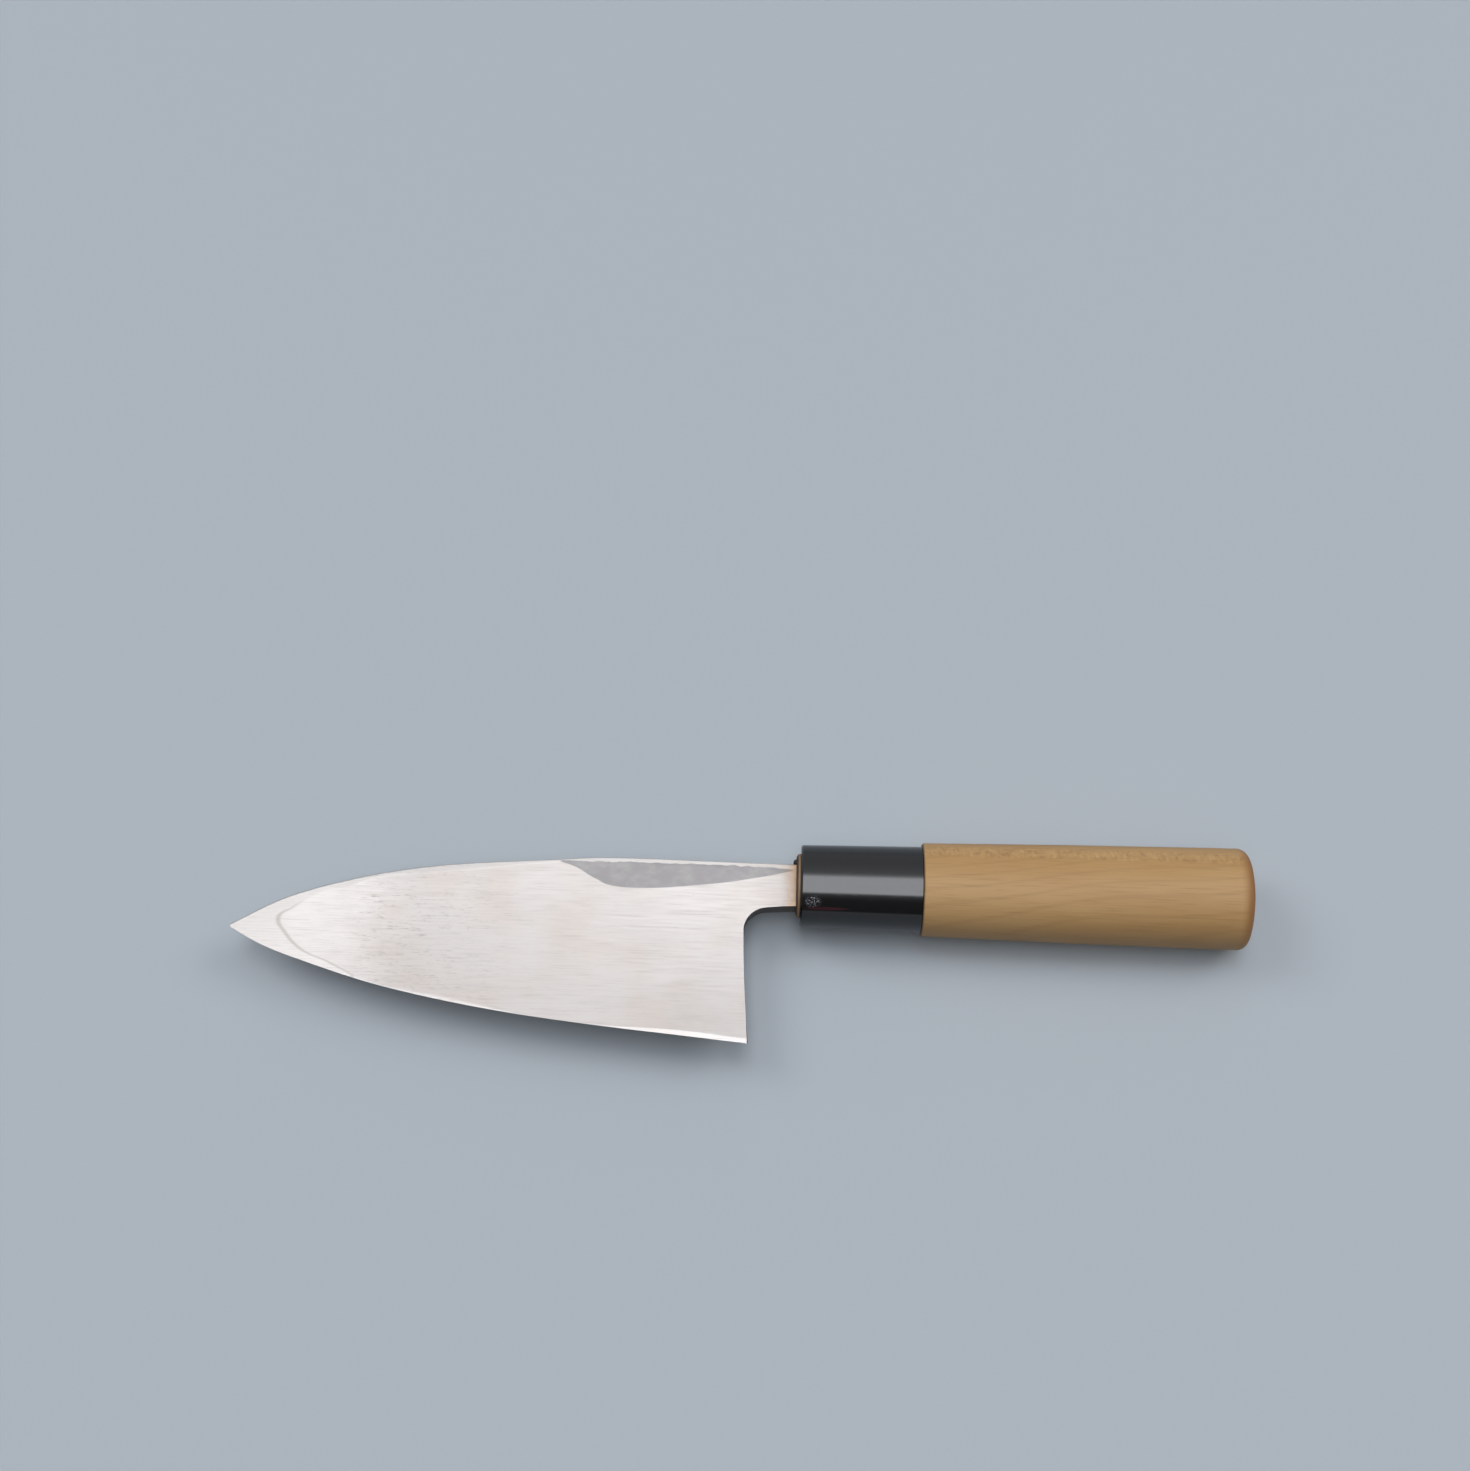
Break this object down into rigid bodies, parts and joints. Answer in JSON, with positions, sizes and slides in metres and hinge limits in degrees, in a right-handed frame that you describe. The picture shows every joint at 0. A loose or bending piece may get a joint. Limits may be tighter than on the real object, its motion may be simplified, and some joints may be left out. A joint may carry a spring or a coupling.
{
  "type": "deba knife",
  "caption": "Small single-bevel kitchen knife with a deep triangular hollow-backed blade, oval wooden handle and black ferrule.",
  "frame": {"origin": "centre of the knife's own box in plan, at the height of the handle's lowest line", "axes": "+X from tip to butt along the handle, +Y from the edge to the spine, +Z out of the hollow-ground back face"},
  "size_m": [0.2362, 0.051, 0.0212],
  "materials": {
    "blade_iron": "soft iron, ground and lightly brushed along the blade",
    "blade_steel": "hard steel, fine ground lengthwise to a bright satin, with a strip of grey forge scale left along the spine",
    "handle_wood": "bare sanded magnolia wood, fine straight grain",
    "ferrule": "polished black resin",
    "tang_seal": "dark hardened resin"
  },
  "bodies": {
    "root": {"blade_iron": "blade_iron", "blade_steel": "blade_steel", "handle_wood": "handle_wood", "ferrule": "ferrule", "tang_seal": "tang_seal"}
  },
  "joints": []
}
